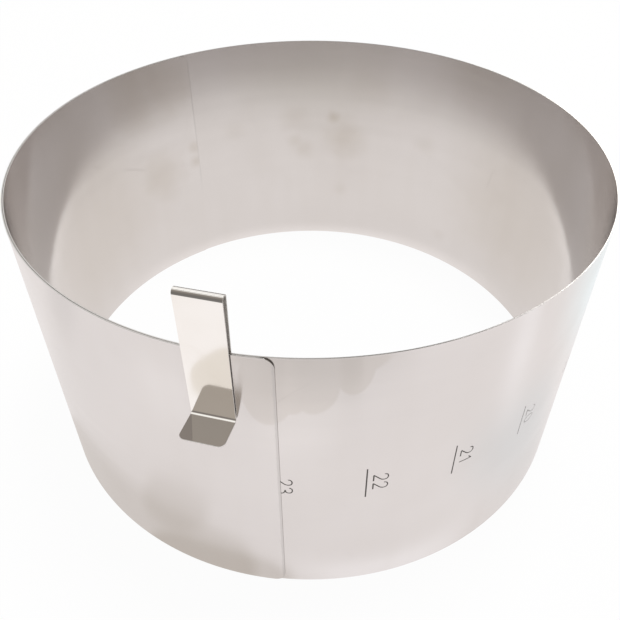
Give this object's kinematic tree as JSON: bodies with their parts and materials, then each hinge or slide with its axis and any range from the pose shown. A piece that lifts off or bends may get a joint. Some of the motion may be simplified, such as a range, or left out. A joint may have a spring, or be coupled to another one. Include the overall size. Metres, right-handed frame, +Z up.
{
  "type": "adjustable cake ring",
  "caption": "Coiled stainless steel cake ring with overlapping ends, an engraved centimetre scale and a push-on hairpin spring clip that holds the lap.",
  "frame": {"origin": "the ring's axis, on the flat surface that the ring stands on", "axes": "+Z up along the ring's axis, -Y towards the clip's side that the picture shows from the front, +X to the picture's right"},
  "size_m": [0.2306, 0.2395, 0.1405],
  "materials": {
    "band_steel": "satin cold-rolled stainless steel strip, soft mirror",
    "clip_steel": "bright polished stainless spring steel"
  },
  "bodies": {
    "ring": {"band": "band_steel"},
    "clip": {"spring_clip": "clip_steel"}
  },
  "joints": [
    {"name": "clip_slide", "type": "slide", "parent": "ring", "child": "clip", "axis": [0, 0, 1], "range_m": [-0.0195, 0.03]}
  ]
}
